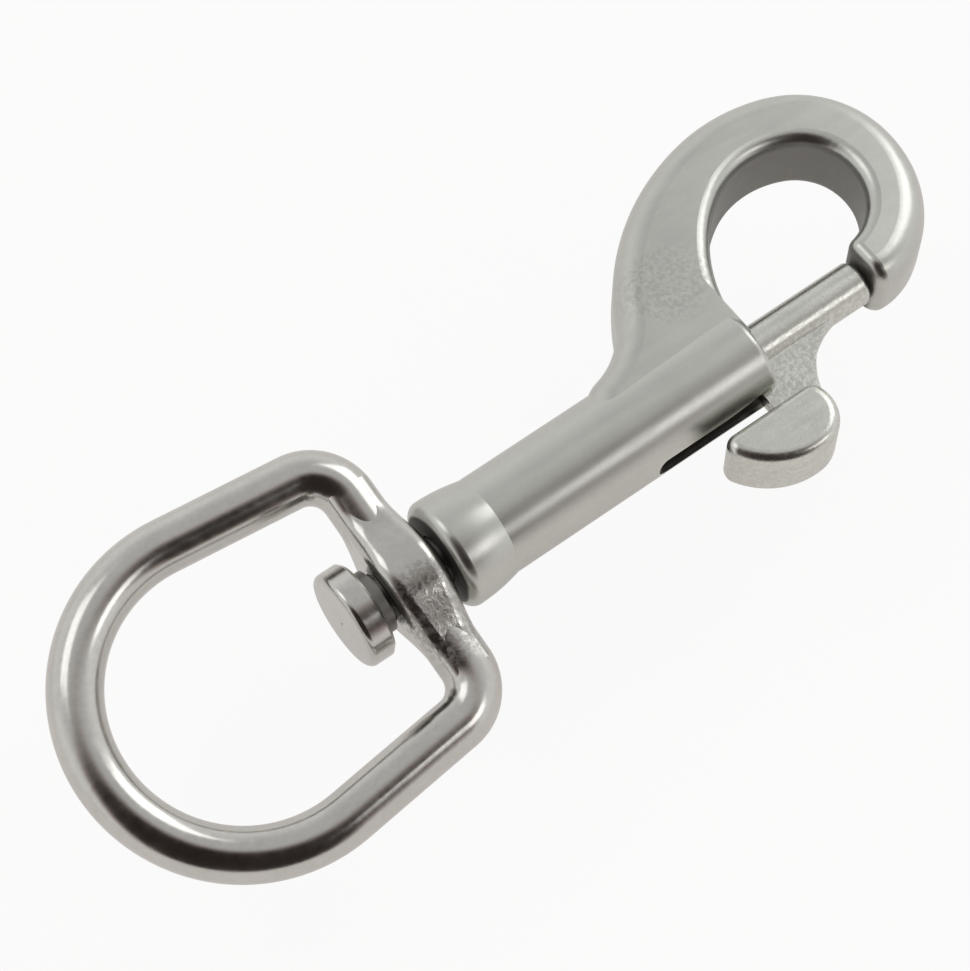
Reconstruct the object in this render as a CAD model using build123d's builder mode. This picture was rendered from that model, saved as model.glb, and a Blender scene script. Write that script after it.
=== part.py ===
from build123d import *
import os
from math import asin, atan2, cos, degrees, radians, sin, sqrt

# Swivel snap hook: a cast hook and barrel, a sprung bolt with a thumb pad, a turned
# swivel pin and a D-shaped eye. The barrel's axis runs along X, the hook lies in the
# XY plane, and the whole hook rests on its side on a surface at Z = 0.
# Every "x" below is measured along the barrel's axis from the collar's rear face.

# Barrel and collar
barrel_r = 5.5
barrel_length = 39.8          # collar's rear face to the front rim
collar_length = 6.0
collar_r = 6.1                # at the top of the rolled edge
collar_roll = 1.2             # radius of the roll at its rear corner
collar_step = 0.05            # left standing where the collar meets the barrel
rim_round = 0.8

# Hook, in plan
hook_top = 24.2               # from the barrel's axis
hook_front_x = 68.7
root_start = 16.8             # where the hook leaves the barrel, behind the front rim
root_run_out = 5.5            # from there back to where the flat side fades out
root_corner_r = 4.0
root_sink = 0.2               # how far its first point lies inside the barrel
root_rise = 0.14              # slope at which the hook leaves the barrel's side
root_end = (9.6, 10.1)        # behind the front rim, and from the axis
back_end = (19.5, 0.5)        # behind the hook's front, and below its top
crown_end = (9.1, 0.9)        # behind the hook's front, and below its top
front_half = 11.5             # from the axis, where the front stands upright
chin_end = (8.3, 2.4)         # behind the hook's front, and past the axis
nose_gap = 0.3                # bolt tip to nose face
nose_upper = 2.7              # the nose's flat end, each side of the axis
nose_lower = 3.2
nose_corner_r = 1.8
nose_round = 1.2              # all round the nose's flat end
mouth_wall = 7.9              # from the hook's top down to the opening
mouth_front_wall = 6.9
mouth_back_gap = 0.2          # from the barrel's rim forward to the opening
mouth_front_half = 11.6
mouth_front_slope = 0.09
mouth_corner_end = (3.4, 0.3) # behind the opening's front, and below its top
mouth_crown_end = (8.3, 0.9)  # ahead of the opening's back, and below its top
mouth_back_end = 2.5

# Hook, across its thickness
root_half_thickness = 5.35
hook_half_thickness = 4.2
outer_round = 3.0
mouth_round = 1.5

# Bolt
bolt_r = 2.5
bolt_tip_back = 13.9          # behind the hook's front
bolt_tail = 13.8              # hidden in the barrel, behind its front rim
bolt_tip_round = 0.5
bolt_tail_chamfer = 0.3
bolt_travel = 13.0
bolt_clearance = 0.12         # radial, in the bore
web_thickness = 2.0
web_rear = 2.0                # behind the barrel's front rim
web_front = 11.2              # ahead of the barrel's front rim
web_waist = (6.5, 3.9)        # hollow of its front edge, ahead of the rim and down
web_sink = 0.4                # how far it runs up into the rod
web_root = 2.0                # how far it runs into the pad
web_toe = 0.3                 # past the pad's front
pad_rear = 9.5                # behind the barrel's front rim
pad_front = 2.8               # ahead of it
pad_side_ends = (0.9, 0.7)    # straight side, beyond the rear and short of the front
pad_bulge = (0.1, 3.3)        # widest point of the front, short of it and down
pad_tip = 4.0                 # outermost point, behind the front
pad_inner_y = 7.6             # the straight side, from the barrel's axis
pad_outer_y = 14.3
pad_thickness = 7.0
pad_round = 1.2
pad_corner_r = 1.5

# Slot for the web
slot_clearance = 0.2          # each side of the web
slot_end_clearance = 0.8      # behind the web with the bolt drawn right back
slot_flare = 1.1              # extra half width at the rim
slot_flare_length = 8.0

# Swivel pin
shank_r = 2.6
shank_clearance = 0.2         # radial, in the collar's lip
head_r = 5.35
head_thickness = 3.0
head_round = 0.7
head_chamfer = 0.4            # on its far side
head_dimple_r = 0.45
head_dimple_depth = 0.35
shoulder_r = 3.5
shoulder_length = 1.3
flange_r = 3.5
flange_thickness = 2.2
flange_clearance = 0.2
lip_thickness = 2.2

# Swivel eye
wire_r = 2.85
eye_end_r = 16.3              # centreline of the round end
eye_end_x = 23.9              # centre of the round end, behind the collar
leg_half_width = 14.3         # centreline, where the legs leave the crossbar
bar_width = 6.6               # along the barrel's axis
bar_gap = 0.6                 # crossbar to collar
boss_half_height = 5.0
boss_half_width = 9.0
bar_half_length = 11.0
bar_end_width = 5.2           # inside the wire
bar_end_half_height = 2.5
bar_round = 1.6
corner_r = 4.6
eye_bore_clearance = 0.15
head_gap = 0.4                # shoulder to crossbar
eye_tilt = 16.0               # degrees about the barrel's axis, as it rests

# Spring
spring_wire_r = 0.25
spring_coil_r = 2.0
spring_turns = 11.5
spring_end_gap = 0.1

# Positions that follow from the sizes above
eye_reach = eye_end_x + eye_end_r + wire_r
eye_side = eye_end_r * cos(radians(eye_tilt)) + wire_r
axis_height = eye_end_r * sin(radians(eye_tilt)) + wire_r
origin_x = (eye_reach - hook_front_x) / 2
origin_y = (eye_side - hook_top) / 2
axis_start = Vector(origin_x, origin_y, axis_height)
barrel_axis = Axis(axis_start, (1, 0, 0))
hook_plane = Plane(axis_start, x_dir=(1, 0, 0), z_dir=(0, 0, 1))
side_plane = Plane(axis_start, x_dir=(1, 0, 0), z_dir=(0, -1, 0))
bolt_tip_x = hook_front_x - bolt_tip_back
bolt_rear_x = barrel_length - bolt_tail
bolt_bore_r = bolt_r + bolt_clearance
nose_x = bolt_tip_x + nose_gap
chamber_r = flange_r + flange_clearance
flange_x = lip_thickness + flange_clearance
chamber_end_x = flange_x + flange_thickness + flange_clearance
web_rear_x = barrel_length - web_rear
web_front_x = barrel_length + web_front
pad_rear_x = barrel_length - pad_rear
pad_front_x = barrel_length + pad_front
root_start_x = barrel_length - root_start
mouth_back_x = barrel_length + mouth_back_gap
mouth_front_x = hook_front_x - mouth_front_wall
mouth_top = hook_top - mouth_wall
mouth_middle_x = (mouth_back_x + mouth_front_x) / 2
wedge_start_x = root_start_x - 2 * root_run_out
wedge_end_x = hook_front_x + outer_round
bore_end_x = barrel_length + web_front
web_half = web_thickness / 2
slot_half = web_half + slot_clearance
slot_rear_x = web_rear_x - bolt_travel - slot_end_clearance
slot_end_x = barrel_length + rim_round
pad_half = pad_thickness / 2


def across(x):
    """The plane square to the barrel's axis at x, with its X along +Y."""
    return Plane(axis_start + Vector(x, 0, 0), x_dir=(0, 1, 0), z_dir=(1, 0, 0))


# Hook body: hook, barrel and collar in one casting
with BuildPart() as hook_body:
    # The hook's plate in plan, from inside the barrel round to the nose and back
    with BuildSketch(hook_plane.offset(-root_half_thickness - 1)):
        with BuildLine():
            root = TangentArc(
                (root_start_x, barrel_r - root_sink),
                (barrel_length - root_end[0], root_end[1]),
                tangent=(1, root_rise),
            )
            back = TangentArc(
                root @ 1,
                (hook_front_x - back_end[0], hook_top - back_end[1]),
                tangent=root % 1,
            )
            crown = TangentArc(
                back @ 1,
                (hook_front_x - crown_end[0], hook_top - crown_end[1]),
                tangent=back % 1,
            )
            front = TangentArc(crown @ 1, (hook_front_x, front_half), tangent=crown % 1)
            chin = TangentArc(
                front @ 1,
                (hook_front_x - chin_end[0], -chin_end[1]),
                tangent=front % 1,
            )
            nose = TangentArc(chin @ 1, (nose_x, -nose_lower), tangent=chin % 1)
            nose_face = Line(nose @ 1, (nose_x, nose_upper))
            mouth_front = TangentArc(
                nose_face @ 1,
                (mouth_front_x, mouth_front_half),
                tangent=(1, mouth_front_slope),
            )
            mouth_corner = TangentArc(
                mouth_front @ 1,
                (mouth_front_x - mouth_corner_end[0], mouth_top - mouth_corner_end[1]),
                tangent=mouth_front % 1,
            )
            mouth_crown = TangentArc(
                mouth_corner @ 1,
                (mouth_back_x + mouth_crown_end[0], mouth_top - mouth_crown_end[1]),
                tangent=mouth_corner % 1,
            )
            mouth_back = TangentArc(
                mouth_crown @ 1,
                (mouth_back_x, mouth_back_end),
                tangent=mouth_crown % 1,
            )
            Polyline(
                mouth_back @ 1,
                (mouth_back_x, 0),
                (root_start_x - root_run_out, 0),
                root @ 0,
            )
        plan = make_face()
        root_corner = plan.vertices().sort_by_distance(root @ 0)[0]
        fillet(root_corner, root_corner_r)
        nose_corner = plan.vertices().sort_by_distance(nose_face @ 1)[0]
        fillet(nose_corner, nose_corner_r)
    extrude(amount=2 * root_half_thickness + 2)
    # Side profile: thick as the barrel at the root, thinner round the hook
    with BuildSketch(side_plane):
        with BuildLine():
            Polyline(
                (wedge_start_x, root_half_thickness),
                (wedge_end_x, hook_half_thickness),
                (wedge_end_x, -hook_half_thickness),
                (wedge_start_x, -root_half_thickness),
                close=True,
            )
        make_face()
    extrude(amount=2 * hook_top, both=True, mode=Mode.INTERSECT)
    mouth_centre = axis_start + Vector(mouth_middle_x, mouth_top / 2, 0)
    walls = hook_body.faces().filter_by(GeomType.CYLINDER)
    outer_walls = walls.filter_by(lambda f: f.normal_at().dot(f.center() - mouth_centre) > 0)
    mouth_walls = walls.filter_by(lambda f: f.normal_at().dot(f.center() - mouth_centre) < 0)
    run_out_wall = hook_body.faces().filter_by(GeomType.PLANE).sort_by(Axis.X)[0]
    outer_walls.append(run_out_wall)
    fillet(outer_walls.edges().filter_by(Axis.Z, reverse=True), outer_round)
    fillet(mouth_walls.edges().filter_by(Axis.Z, reverse=True), mouth_round)
    nose_point = axis_start + Vector(nose_x, 0, 0)
    nose_end = hook_body.faces().filter_by(Axis.X).sort_by_distance(nose_point)[0]
    fillet(nose_end.edges(), nose_round)
    # Barrel with the rolled collar at its rear
    with BuildSketch(hook_plane):
        with BuildLine():
            rear_face = Line((0, 0), (0, collar_r - collar_roll))
            collar_edge = TangentArc(
                rear_face @ 1,
                (collar_roll, collar_r),
                tangent=(0, 1),
            )
            collar_side = TangentArc(
                collar_edge @ 1,
                (collar_length, barrel_r + collar_step),
                tangent=(1, 0),
            )
            seam = Line(collar_side @ 1, (collar_length + collar_step, barrel_r))
            barrel_side = Line(seam @ 1, (barrel_length - rim_round, barrel_r))
            rim_edge = TangentArc(
                barrel_side @ 1,
                (barrel_length, barrel_r - rim_round),
                tangent=(1, 0),
            )
            Polyline(rim_edge @ 1, (barrel_length, 0), (0, 0))
        make_face()
    revolve(axis=barrel_axis)
    # One cavity: the lip round the pin, the chamber for its flange, the bolt's bore
    with BuildSketch(hook_plane):
        with BuildLine():
            Polyline(
                (-1, 0),
                (-1, shank_r + shank_clearance),
                (lip_thickness, shank_r + shank_clearance),
                (lip_thickness, chamber_r),
                (chamber_end_x, chamber_r),
                (chamber_end_x, bolt_bore_r),
                (bore_end_x, bolt_bore_r),
                (bore_end_x, 0),
                close=True,
            )
        make_face()
    revolve(axis=barrel_axis, mode=Mode.SUBTRACT)
    # Slot for the bolt's web, round at the rear and flared at the rim
    with BuildSketch(side_plane):
        with BuildLine():
            slot_round = ThreePointArc(
                (slot_rear_x + slot_half, -slot_half),
                (slot_rear_x, 0),
                (slot_rear_x + slot_half, slot_half),
            )
            upper_lip = Line(slot_round @ 1, (barrel_length - slot_flare_length, slot_half))
            upper_flare = TangentArc(
                upper_lip @ 1,
                (slot_end_x, slot_half + slot_flare),
                tangent=(1, 0),
            )
            lower_lip = Line(slot_round @ 0, (barrel_length - slot_flare_length, -slot_half))
            lower_flare = TangentArc(
                lower_lip @ 1,
                (slot_end_x, -slot_half - slot_flare),
                tangent=(1, 0),
            )
            Line(upper_flare @ 1, lower_flare @ 1)
        make_face()
    extrude(amount=2 * barrel_r, mode=Mode.SUBTRACT)
hook_body.part.label = "hook_body"

# Bolt: rod, web and thumb pad in one casting
with BuildPart() as bolt:
    # Half-moon pad, straight side towards the barrel
    with BuildSketch(hook_plane.offset(-pad_half)):
        with BuildLine():
            pad_side = Line(
                (pad_rear_x - pad_side_ends[0], -pad_inner_y),
                (pad_front_x - pad_side_ends[1], -pad_inner_y),
            )
            pad_nose = ThreePointArc(
                pad_side @ 1,
                (pad_front_x - pad_bulge[0], -pad_inner_y - pad_bulge[1]),
                (pad_front_x - pad_tip, -pad_outer_y),
            )
            TangentArc(pad_nose @ 1, pad_side @ 0, tangent=pad_nose % 1)
        make_face()
    extrude(amount=pad_thickness)
    pad_corners = bolt.edges().filter_by(Axis.Z).group_by(Axis.Y)[-1]
    fillet(pad_corners, pad_corner_r)
    fillet(bolt.faces().filter_by(Axis.Z).edges(), pad_round)
    # Thin web from the rod down to the pad, swept forward in a hollow curve
    with BuildSketch(hook_plane.offset(-web_half)):
        with BuildLine():
            web_edge = ThreePointArc(
                (web_front_x, -bolt_r + web_sink),
                (barrel_length + web_waist[0], -web_waist[1]),
                (pad_front_x + web_toe, -pad_inner_y - pad_round),
            )
            Polyline(
                web_edge @ 1,
                (pad_front_x - web_root, -pad_inner_y - web_root),
                (web_rear_x, -pad_inner_y - web_root),
                (web_rear_x, 0),
                (web_front_x, 0),
                web_edge @ 0,
            )
        make_face()
    extrude(amount=web_thickness)
    # Rod with a softened tip
    with BuildSketch(hook_plane):
        with BuildLine():
            Polyline(
                (bolt_rear_x, 0),
                (bolt_rear_x, bolt_r - bolt_tail_chamfer),
                (bolt_rear_x + bolt_tail_chamfer, bolt_r),
                (bolt_tip_x - bolt_tip_round, bolt_r),
            )
            TangentArc(
                (bolt_tip_x - bolt_tip_round, bolt_r),
                (bolt_tip_x, bolt_r - bolt_tip_round),
                tangent=(1, 0),
            )
            Polyline((bolt_tip_x, bolt_r - bolt_tip_round), (bolt_tip_x, 0), (bolt_rear_x, 0))
        make_face()
    revolve(axis=barrel_axis)
bolt.part.label = "bolt"

# Swivel pin: head and shoulder in the eye, flange held behind the collar's lip
shoulder_x = -bar_gap - bar_width - head_gap
head_x = shoulder_x - shoulder_length
head_rear_x = head_x - head_thickness
with BuildPart() as swivel_pin:
    with BuildSketch(hook_plane):
        with BuildLine():
            Polyline(
                (head_rear_x + head_dimple_depth, 0),
                (head_rear_x, head_dimple_r),
                (head_rear_x, head_r - head_round),
            )
            RadiusArc(
                (head_rear_x, head_r - head_round),
                (head_rear_x + head_round, head_r),
                head_round,
            )
            Polyline(
                (head_rear_x + head_round, head_r),
                (head_x - head_chamfer, head_r),
                (head_x, head_r - head_chamfer),
                (head_x, shoulder_r),
                (shoulder_x, shoulder_r),
                (shoulder_x, shank_r),
                (flange_x, shank_r),
                (flange_x, flange_r),
                (flange_x + flange_thickness, flange_r),
                (flange_x + flange_thickness, 0),
                (head_rear_x + head_dimple_depth, 0),
            )
        make_face()
    revolve(axis=barrel_axis)
swivel_pin.part.label = "swivel_pin"

# Swivel eye: a round-wire D with a flat crossbar that swells to a bored boss
tilt = radians(eye_tilt)
eye_up = Vector(0, -sin(tilt), cos(tilt))
eye_side_dir = Vector(0, cos(tilt), sin(tilt))
eye_plane = Plane(axis_start, x_dir=(1, 0, 0), z_dir=eye_up)
eye_mirror = Plane(axis_start, x_dir=(1, 0, 0), z_dir=eye_side_dir)
bar_x = -bar_gap - bar_width / 2
leg_run = bar_x + eye_end_x
flare = asin(eye_end_r / sqrt(leg_run**2 + leg_half_width**2))
flare -= atan2(leg_half_width, leg_run)
bar_plane = Plane(
    axis_start + Vector(bar_x - bar_width / 2, 0, 0),
    x_dir=eye_side_dir,
    z_dir=(1, 0, 0),
)
with BuildPart() as crossbar:
    with BuildSketch(bar_plane):
        with BuildLine():
            swell = Spline(
                (0, boss_half_height),
                (boss_half_width, bar_end_half_height),
                tangents=[(1, 0), (1, 0)],
            )
            bar_end = Line(swell @ 1, (bar_half_length, bar_end_half_height))
            Polyline(bar_end @ 1, (bar_half_length, 0), (0, 0), swell @ 0)
        make_face()
        mirror(about=Plane.XZ)
        mirror(about=Plane.YZ)
    extrude(amount=bar_width)
    # In plan it narrows from the boss to its ends
    with BuildSketch(eye_plane):
        with BuildLine():
            narrowing = Spline(
                (bar_x - bar_width / 2, 0),
                (bar_x - bar_end_width / 2, boss_half_width),
                tangents=[(0, 1), (0, 1)],
            )
            rear_end = Line(narrowing @ 1, (bar_x - bar_end_width / 2, bar_half_length))
            Polyline(
                rear_end @ 1,
                (bar_x + bar_end_width / 2, bar_half_length),
                (bar_x + bar_end_width / 2, boss_half_width),
            )
            Spline(
                (bar_x + bar_end_width / 2, boss_half_width),
                (bar_x + bar_width / 2, 0),
                tangents=[(0, -1), (0, -1)],
            )
            Line((bar_x + bar_width / 2, 0), (bar_x - bar_width / 2, 0))
        make_face()
        mirror(about=Plane.XZ)
    extrude(amount=2 * boss_half_height, both=True, mode=Mode.INTERSECT)
    long_sides = crossbar.faces().filter_by(lambda f: abs(f.normal_at().X) > 0.8)
    long_edges = long_sides.edges().filter_by(
        lambda e: abs(e.tangent_at(0.5).dot(eye_side_dir)) > 0.8,
    )
    fillet(long_edges, bar_round)
with BuildPart() as swivel_eye:
    with BuildLine(eye_plane):
        leg_end = (-eye_end_x + eye_end_r * sin(flare), eye_end_r * cos(flare))
        leg = FilletPolyline(
            (bar_x, 0),
            (bar_x, leg_half_width),
            leg_end,
            radius=corner_r,
        )
        CenterArc(
            (-eye_end_x, 0),
            eye_end_r,
            90 - degrees(flare),
            90 + degrees(flare),
        )
    with BuildSketch(Plane(leg @ 0, x_dir=(1, 0, 0), z_dir=eye_side_dir)):
        Circle(wire_r)
    sweep()
    mirror(about=eye_mirror)
    add(crossbar.part)
    with BuildSketch(across(0)):
        Circle(shank_r + eye_bore_clearance)
    extrude(amount=-2 * bar_width, mode=Mode.SUBTRACT)
swivel_eye.part.label = "swivel_eye"

# Spring between the pin's flange and the bolt's rear end
spring_start_x = flange_x + flange_thickness + spring_end_gap + spring_wire_r
spring_length = bolt_rear_x - spring_end_gap - spring_wire_r - spring_start_x
with BuildPart() as spring:
    with BuildLine():
        coil = Helix(
            pitch=spring_length / spring_turns,
            height=spring_length,
            radius=spring_coil_r,
            center=axis_start + Vector(spring_start_x, 0, 0),
            direction=(1, 0, 0),
        )
    with BuildSketch(Plane(coil @ 0, z_dir=coil % 0)):
        Circle(spring_wire_r)
    sweep(is_frenet=True)
spring.part.label = "spring"

os.makedirs("parts", exist_ok=True)
export_step(hook_body.part, "parts/hook_body.step")
export_step(bolt.part, "parts/bolt.step")
export_step(swivel_pin.part, "parts/swivel_pin.step")
export_step(swivel_eye.part, "parts/swivel_eye.step")
export_step(spring.part, "parts/spring.step")
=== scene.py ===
"""A stainless swivel snap hook: hook and barrel, sprung bolt, swivel pin and D-shaped eye."""

import math

import bmesh
import bpy
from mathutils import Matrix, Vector


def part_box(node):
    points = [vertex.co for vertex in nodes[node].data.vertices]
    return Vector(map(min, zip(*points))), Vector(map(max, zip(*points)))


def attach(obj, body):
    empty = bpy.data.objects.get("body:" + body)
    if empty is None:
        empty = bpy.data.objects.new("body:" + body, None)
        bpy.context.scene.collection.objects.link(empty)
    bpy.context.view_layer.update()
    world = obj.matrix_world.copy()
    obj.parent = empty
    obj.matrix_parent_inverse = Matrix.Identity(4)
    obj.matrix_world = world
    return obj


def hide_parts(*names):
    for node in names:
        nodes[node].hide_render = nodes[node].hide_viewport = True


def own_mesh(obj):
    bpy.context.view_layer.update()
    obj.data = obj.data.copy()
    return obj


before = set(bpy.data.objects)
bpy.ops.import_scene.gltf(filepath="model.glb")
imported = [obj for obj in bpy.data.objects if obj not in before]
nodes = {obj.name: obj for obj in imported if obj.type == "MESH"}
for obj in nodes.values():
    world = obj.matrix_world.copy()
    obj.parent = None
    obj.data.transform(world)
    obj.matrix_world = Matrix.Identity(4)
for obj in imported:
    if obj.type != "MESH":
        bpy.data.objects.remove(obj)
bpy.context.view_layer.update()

# ---------------------------------------------------------------- places

# The barrel's axis runs along X through the middle of the swivel pin.
pin_low, pin_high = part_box("swivel_pin")
AXIS_Y = (pin_low.y + pin_high.y) / 2
AXIS_Z = (pin_low.z + pin_high.z) / 2
BARREL_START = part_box("hook_body")[0].x
BARREL_LENGTH = 0.0398
BARREL_END = BARREL_START + BARREL_LENGTH
HEAD_END = pin_low.x + 0.0030

# The hook's opening is an oval about this point, and the bore, dulled and painted dark as shade,
# lies within its reach.
MOUTH_X = BARREL_START + 0.0509
MOUTH_Y = AXIS_Y + 0.0080
MOUTH_HALF_LENGTH = 0.0125
MOUTH_HALF_WIDTH = 0.0098
BORE_REACH = 0.0053

# The coarse patch on the hook's root, and the forging marks on the crossbar.
PATCH_X = BARREL_START + 0.0365
PATCH_Y = AXIS_Y + 0.0095
PATCH_HALF_LENGTH = 0.0055
PATCH_HALF_WIDTH = 0.0045
MARKS_X = -0.0168
MARKS_Y = -0.0085
MARKS_HALF_LENGTH = 0.0045
MARKS_HALF_WIDTH = 0.0050
FACE_FADE = 0.002

# The web between the bolt's rod and its pad, measured down from the axis.
WEB_TOP_FADE = (0.0015, 0.0035)
WEB_FOOT_FADE = (0.0082, 0.0068)

# ---------------------------------------------------------------- steel's colours and skin

SATIN = (0.59, 0.595, 0.555)
CASTING = (0.69, 0.695, 0.64)
BRIGHT = (0.62, 0.61, 0.575)
# A dark tint painted into hollows as shade.
PAINTED_SHADE_TINT = (0.16, 0.155, 0.145, 1)
DARKEST = 0.72
LIGHTEST = 1.16

# Cloudy mottling, pits left by casting, and fine marks left by polishing.
CLOUD_SCALE = 160
PIT_SCALE = 1900
MARK_SCALE = 1100
NOISE_ROUGHNESS = 0.55
PIT_EDGES = (0.60, 0.38)
# Edges are painted lighter, partly as rubbed wear and partly as a painted highlight.
EDGE_WIDTH = 0.0006
EDGE_TURN = (0.01, 0.12)

# How much each of them lightens or darkens, dulls, and raises the skin.
MIDDLE_SHADE = 0.55
CLOUD_SHADE = 0.5
MARK_SHADE = 0.35
PIT_SHADE = 0.5
# Edge lightening is partly wear and partly a painted highlight.
EDGE_SHADE = 0.35
CLOUD_DULLING = 0.08
MARK_DULLING = 0.10
PIT_DULLING = 0.14
EDGE_GLOSSING = 0.06
HOLLOW_DULLING = 0.25
MARK_HEIGHT = 0.3
CLOUD_HEIGHT = 0.8
SKIN_DEPTH = 0.0001


# ---------------------------------------------------------------- shader maths

class Value:
    """One shader socket, with arithmetic that adds Math nodes."""

    def __init__(self, tree, socket):
        self.tree = tree
        self.socket = socket

    def make(self, kind, settings=None, inputs=None, output=0):
        """Adds a node of a kind, gives it its settings first and its inputs next."""
        node = self.tree.nodes.new(kind)
        for name, setting in (settings or {}).items():
            setattr(node, name, setting)
        for name, value in (inputs or {}).items():
            if isinstance(value, Value):
                self.tree.links.new(value.socket, node.inputs[name])
            else:
                node.inputs[name].default_value = value
        return Value(self.tree, node.outputs[output])

    def maths(self, operation, first, second, clamp=False):
        settings = {"operation": operation, "use_clamp": clamp}
        return self.make("ShaderNodeMath", settings, {0: first, 1: second})

    def __add__(self, other):
        return self.maths("ADD", self, other)

    def __radd__(self, other):
        return self.maths("ADD", other, self)

    def __sub__(self, other):
        return self.maths("SUBTRACT", self, other)

    def __rsub__(self, other):
        return self.maths("SUBTRACT", other, self)

    def __mul__(self, other):
        return self.maths("MULTIPLY", self, other)

    def __rmul__(self, other):
        return self.maths("MULTIPLY", other, self)

    def __truediv__(self, other):
        return self.maths("DIVIDE", self, other)

    def clamped(self):
        return self.maths("ADD", self, 0.0, clamp=True)

    def between(self, low, high):
        """0 at low and 1 at high, smooth in between; low may be the larger."""
        return self.make(
            "ShaderNodeMapRange",
            {"interpolation_type": "SMOOTHSTEP"},
            {"Value": self, "From Min": low, "From Max": high, "To Min": 0.0, "To Max": 1.0},
        )

    def along(self, axis):
        """One coordinate of a place or direction."""
        return self.make("ShaderNodeSeparateXYZ", None, {0: self}, output=axis)

    def facing(self, direction):
        """How nearly two directions agree: 1 the same way, 0 square to each other."""
        settings = {"operation": "DOT_PRODUCT"}
        return self.make("ShaderNodeVectorMath", settings, {0: self, 1: direction}, output="Value")

    def mixed(self, first, second):
        """A colour between two, by this value. The Mix node numbers its colours 6, 7 and 2."""
        inputs = {"Factor": self, 6: first, 7: second}
        return self.make("ShaderNodeMix", {"data_type": "RGBA"}, inputs, output=2)


def squared(value):
    return value * value


def oval(place, centre_x, centre_y, half_length, half_width):
    """1 on an oval seen from above, less inside it and more outside."""
    x = place.along("X")
    y = place.along("Y")
    return squared((x - centre_x) / half_length) + squared((y - centre_y) / half_width)


# ---------------------------------------------------------------- where the finish changes, and where shade is painted

def hook_hollow_shade(place):
    """Painted shade, with dulling: the opening's inner wall, and the inside of the barrel and its
    slot.
    """
    lean = place.make("ShaderNodeTexCoord", output="Normal").along("Z")
    upright = squared(lean).between(0.35, 0.05)
    ring = oval(place, MOUTH_X, MOUTH_Y, MOUTH_HALF_LENGTH, MOUTH_HALF_WIDTH)
    mouth = ring.between(1.25, 1.05) * upright * 0.8
    off_axis = squared(place.along("Y") - AXIS_Y) + squared(place.along("Z") - AXIS_Z)
    bore = off_axis / BORE_REACH**2
    behind_rim = place.along("X").between(BARREL_END + 0.0003, BARREL_END)
    inside = bore.between(1.0, 0.85) * behind_rim
    return (mouth + inside).clamped()


def hook_cast_patch(place):
    """Coarse skin on the flat of the hook's root, where polishing wheels don't reach."""
    spot = oval(place, PATCH_X, PATCH_Y, PATCH_HALF_LENGTH, PATCH_HALF_WIDTH)
    upper_face = place.along("Z").between(AXIS_Z, AXIS_Z + FACE_FADE)
    return spot.between(1.4, 0.3) * upper_face * 0.75


def eye_cast_marks(place):
    """Forging marks on the crossbar's upper face, towards one end."""
    spot = oval(place, MARKS_X, MARKS_Y, MARKS_HALF_LENGTH, MARKS_HALF_WIDTH)
    upper_face = place.along("Z").between(AXIS_Z - FACE_FADE, AXIS_Z)
    return spot.between(1.3, 0.5) * upper_face * 1.3


def pin_neck_shade(place):
    """The pin from its head forward, dulled and painted dark as the shade between head and
    crossbar.
    """
    return place.along("X").between(HEAD_END - 0.0002, HEAD_END) * 0.85


def web_casting(place):
    """The web between rod and pad is left as cast."""
    y = place.along("Y")
    below_rod = y.between(*(AXIS_Y - drop for drop in WEB_TOP_FADE))
    above_pad = y.between(*(AXIS_Y - drop for drop in WEB_FOOT_FADE))
    return below_rod * above_pad * 0.8


# ---------------------------------------------------------------- steel

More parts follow.
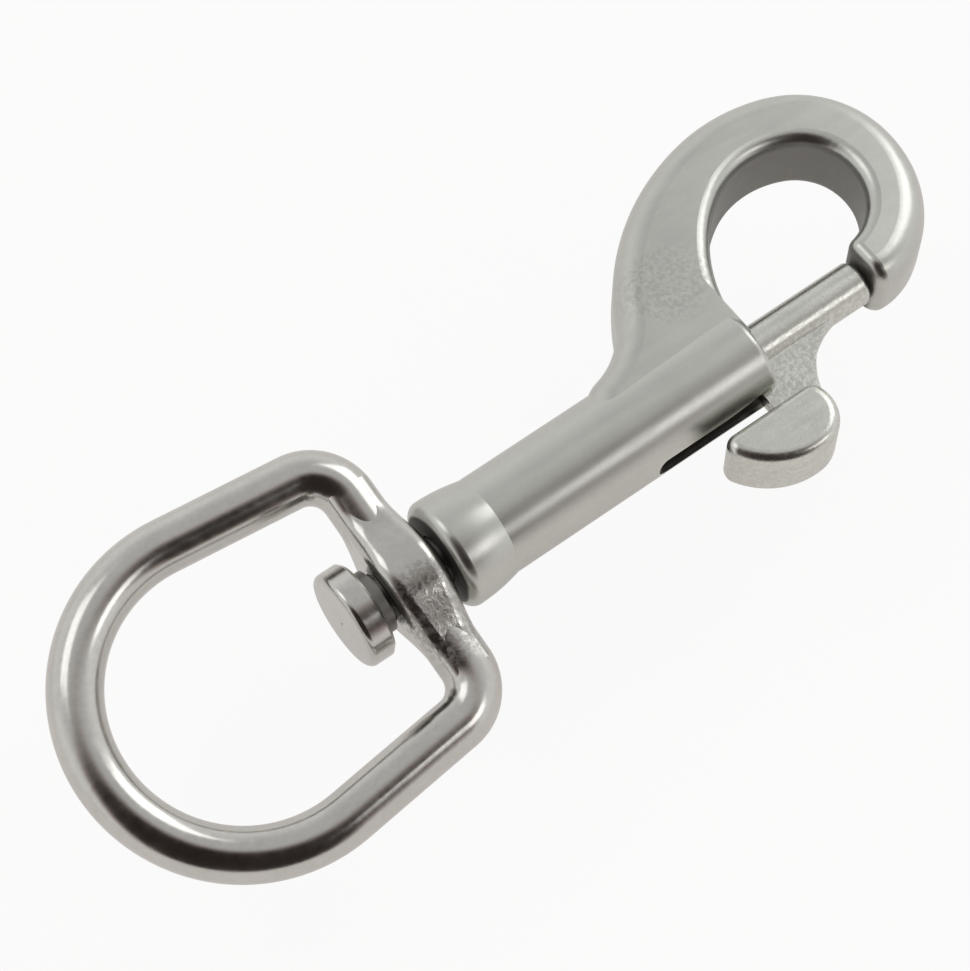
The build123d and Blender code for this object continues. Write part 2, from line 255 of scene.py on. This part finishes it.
def steel(name, tint, polish, grain, cast, relief, drawn=(1, 1, 1), shaded_recess=None, rough_patch=None):
    """Stainless steel. tint and polish are its colour and roughness, grain its mottling, cast
    how pitted its skin is, relief how deep, drawn the stretch of its fine marks; the last two
    are masks of place for hollows dulled and painted dark as shade, and for a coarse as-cast
    patch."""
    material = bpy.data.materials.new(name)
    material.use_nodes = True
    tree = material.node_tree
    shader = tree.nodes["Principled BSDF"]
    shader.inputs["Metallic"].default_value = 1.0
    start = Value(tree, shader.outputs[0])
    place = start.make("ShaderNodeTexCoord", output="Object")
    stretched = start.make(
        "ShaderNodeMapping",
        {"vector_type": "POINT"},
        {"Vector": place, "Scale": drawn},
    )

    def noise(scale, detail, along=place):
        settings = {"noise_dimensions": "3D"}
        inputs = {"Vector": along, "Scale": scale, "Detail": detail, "Roughness": NOISE_ROUGHNESS}
        return start.make("ShaderNodeTexNoise", settings, inputs)

    clouds = noise(CLOUD_SCALE, 2)
    pits = noise(PIT_SCALE, 3)
    marks = noise(MARK_SCALE, 2, stretched)
    surface = start.make("ShaderNodeNewGeometry", output="Normal")
    # Sharp edges are painted lighter and made glossier, partly as rubbed wear and partly as a
    # painted highlight.
    rounded = start.make("ShaderNodeBevel", {"samples": 4}, {"Radius": EDGE_WIDTH})
    edge_wear_and_highlight = (1 - rounded.facing(surface)).between(*EDGE_TURN)
    coarse = rough_patch(place) if rough_patch else 0.0
    pitted = pits.between(*PIT_EDGES) * (cast + coarse)

    mottling = (clouds - 0.5) * CLOUD_SHADE * grain
    shade = MIDDLE_SHADE + mottling + (marks - 0.5) * MARK_SHADE * grain
    shade = (shade - pitted * PIT_SHADE + edge_wear_and_highlight * EDGE_SHADE).clamped()
    dark = tuple(channel * DARKEST for channel in tint) + (1,)
    light = tuple(min(1.0, channel * LIGHTEST) for channel in tint) + (1,)
    colour = shade.mixed(dark, light)

    dullness = polish + (clouds - 0.5) * CLOUD_DULLING + (marks - 0.5) * MARK_DULLING
    dullness = dullness + pitted * PIT_DULLING - edge_wear_and_highlight * EDGE_GLOSSING
    # Painted shade: the hollows' colour is mixed towards a dark tint; they are also dulled.
    if shaded_recess:
        hollow_shade_and_dulling = shaded_recess(place)
        colour = hollow_shade_and_dulling.mixed(colour, PAINTED_SHADE_TINT)
        dullness = dullness + hollow_shade_and_dulling * HOLLOW_DULLING

    height = pits * (cast + coarse) + marks * MARK_HEIGHT + clouds * CLOUD_HEIGHT
    bump_inputs = {"Strength": relief, "Distance": SKIN_DEPTH, "Height": height}
    bumped = start.make("ShaderNodeBump", None, bump_inputs)
    tree.links.new(colour.socket, shader.inputs["Base Color"])
    tree.links.new(dullness.clamped().socket, shader.inputs["Roughness"])
    tree.links.new(bumped.socket, shader.inputs["Normal"])
    return material


finishes = {
    "hook_body": steel(
        "satin_cast_steel",
        SATIN,
        polish=0.30,
        grain=0.55,
        cast=0.10,
        relief=0.22,
        drawn=(0.10, 1, 1),
        shaded_recess=hook_hollow_shade,
        rough_patch=hook_cast_patch,
    ),
    "bolt": steel(
        "bolt_steel",
        CASTING,
        polish=0.26,
        grain=0.9,
        cast=0.35,
        relief=0.30,
        drawn=(0.2, 1, 1),
        rough_patch=web_casting,
    ),
    "swivel_pin": steel(
        "pin_steel",
        BRIGHT,
        polish=0.20,
        grain=0.8,
        cast=0.15,
        relief=0.12,
        shaded_recess=pin_neck_shade,
    ),
    "swivel_eye": steel(
        "polished_eye_steel",
        BRIGHT,
        polish=0.19,
        grain=0.8,
        cast=0.12,
        relief=0.14,
        rough_patch=eye_cast_marks,
    ),
    "spring": steel(
        "spring_wire_steel",
        BRIGHT,
        polish=0.22,
        grain=0.6,
        cast=0.1,
        relief=0.05,
        drawn=(0.2, 1, 1),
    ),
}
for name, finish in finishes.items():
    mesh = nodes[name].data
    for index in range(len(mesh.materials)):
        mesh.materials[index] = finish

# ---------------------------------------------------------------- return spring

# The return spring, held at its rear end against the pin, welded into one mesh and attached to the
# hook.
coil = bmesh.new()
coil.from_mesh(nodes["spring"].data)
bmesh.ops.remove_doubles(coil, verts=coil.verts, dist=0.000001)
coil_mesh = bpy.data.meshes.new("return_spring")
coil.to_mesh(coil_mesh)
coil.free()
coil_mesh.shade_smooth()
coil_mesh.materials.clear()
coil_mesh.materials.append(finishes["spring"])
return_spring = bpy.data.objects.new("return_spring", coil_mesh)
bpy.context.scene.collection.objects.link(return_spring)
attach(return_spring, "hook")
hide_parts("spring")
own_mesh(return_spring)

# ---------------------------------------------------------------- floor

# Low enough for the eye to turn right round above it.
EYE_REACH = 0.0195
# Plain paper, with a glow of its own that the camera sees and mirrors see a little of.
PAPER_GLOW = 0.9
PAPER_GLOW_MIRRORED = 0.35
bpy.ops.mesh.primitive_plane_add(size=6, location=(0, 0, AXIS_Z - EYE_REACH))
floor = bpy.context.object
floor.name = "studio_floor"
paper = bpy.data.materials.new("white_paper")
paper.use_nodes = True
tree = paper.node_tree
sheet = tree.nodes["Principled BSDF"]
sheet.inputs["Base Color"].default_value = (0.86, 0.86, 0.85, 1)
sheet.inputs["Roughness"].default_value = 0.9
sheet.inputs["Specular IOR Level"].default_value = 0.1
lit = Value(tree, sheet.outputs[0])
glow = lit.make("ShaderNodeEmission", None, {"Color": (1, 1, 1, 1), "Strength": 1.0})


def seen_in_mirrors(start):
    """1 on a ray that a shiny or clear surface sends on, and 0 on any other."""
    glossy_ray = start.make("ShaderNodeLightPath", output="Is Glossy Ray")
    through_ray = start.make("ShaderNodeLightPath", output="Is Transmission Ray")
    return (glossy_ray + through_ray).clamped()


straight = lit.make("ShaderNodeLightPath", output="Is Camera Ray")
glowing = straight * PAPER_GLOW + (1 - straight) * seen_in_mirrors(lit) * PAPER_GLOW_MIRRORED
white = lit.make("ShaderNodeMixShader", None, {0: glowing, 1: lit, 2: glow})
tree.links.new(white.socket, tree.nodes["Material Output"].inputs["Surface"])
floor.data.materials.append(paper)

# ---------------------------------------------------------------- room

# A pale room, dimmer overhead, with one dark end that the polished steel reflects.
ROOM_LEVEL = 0.86
OVERHEAD_DIMMING = 0.26
DARK_END = (-0.3845, -0.723, 0.5736)
DARK_END_DIMMING = 0.97
DARK_END_TINT = (1, 0.72, 0.66, 1)
SOFT_LIGHT = 0.65
world = bpy.data.worlds.new("studio")
bpy.context.scene.world = world
world.use_nodes = True
tree = world.node_tree
backing = tree.nodes["Background"]
sky = Value(tree, backing.outputs[0])
direction = sky.make("ShaderNodeTexCoord", output="Generated")
dark_end = direction.facing(DARK_END).between(0.56, 0.80)
overhead = direction.along("Z").between(0.35, 0.90)
camera_ray = sky.make("ShaderNodeLightPath", output="Is Camera Ray")
mirrored = seen_in_mirrors(sky)
room = (ROOM_LEVEL - overhead * OVERHEAD_DIMMING) * (1 - dark_end * DARK_END_DIMMING)
strength = (
    camera_ray
    + (1 - camera_ray) * mirrored * room
    + (1 - (camera_ray + mirrored).clamped()) * SOFT_LIGHT
)
tint = (dark_end * (1 - camera_ray)).mixed((1, 1, 1, 1), DARK_END_TINT)
tree.links.new(tint.socket, backing.inputs["Color"])
tree.links.new(strength.socket, backing.inputs["Strength"])


def softbox(name, place, aim, width, depth, watts):
    """A soft area lamp, hidden from the camera, aimed at a point."""
    lamp = bpy.data.lights.new(name, "AREA")
    lamp.shape = "RECTANGLE"
    lamp.size, lamp.size_y = width, depth
    lamp.energy = watts
    holder = bpy.data.objects.new(name, lamp)
    holder.location = place
    holder.rotation_euler = (Vector(aim) - Vector(place)).to_track_quat("-Z", "Y").to_euler()
    holder.visible_camera = False
    bpy.context.scene.collection.objects.link(holder)


softbox("key_softbox", (-0.35, 0.45, 0.75), (0, 0, 0), 0.45, 0.45, 0.7)
softbox("fill_softbox", (0.6, 0.1, 0.5), (0, 0, 0), 0.35, 0.5, 0.8)
softbox("front_softbox", (0.35, -0.6, 0.5), (0, 0, 0), 0.3, 0.25, 0.4)

# ---------------------------------------------------------------- camera

# Degrees above the floor, and round from the barrel's side.
ELEVATION = 62.0
AZIMUTH = 36.739
camera = bpy.data.cameras.new("camera")
camera.sensor_width = 36
camera.lens = 111.2
camera.clip_start = 0.01
tripod = bpy.data.objects.new("camera", camera)
tripod.location = (-0.08976, -0.11376, 0.27693)
tripod.rotation_euler = (math.radians(90 - ELEVATION), 0, math.radians(-AZIMUTH))
bpy.context.scene.collection.objects.link(tripod)
bpy.context.scene.camera = tripod
bpy.context.scene.view_settings.view_transform = "Standard"
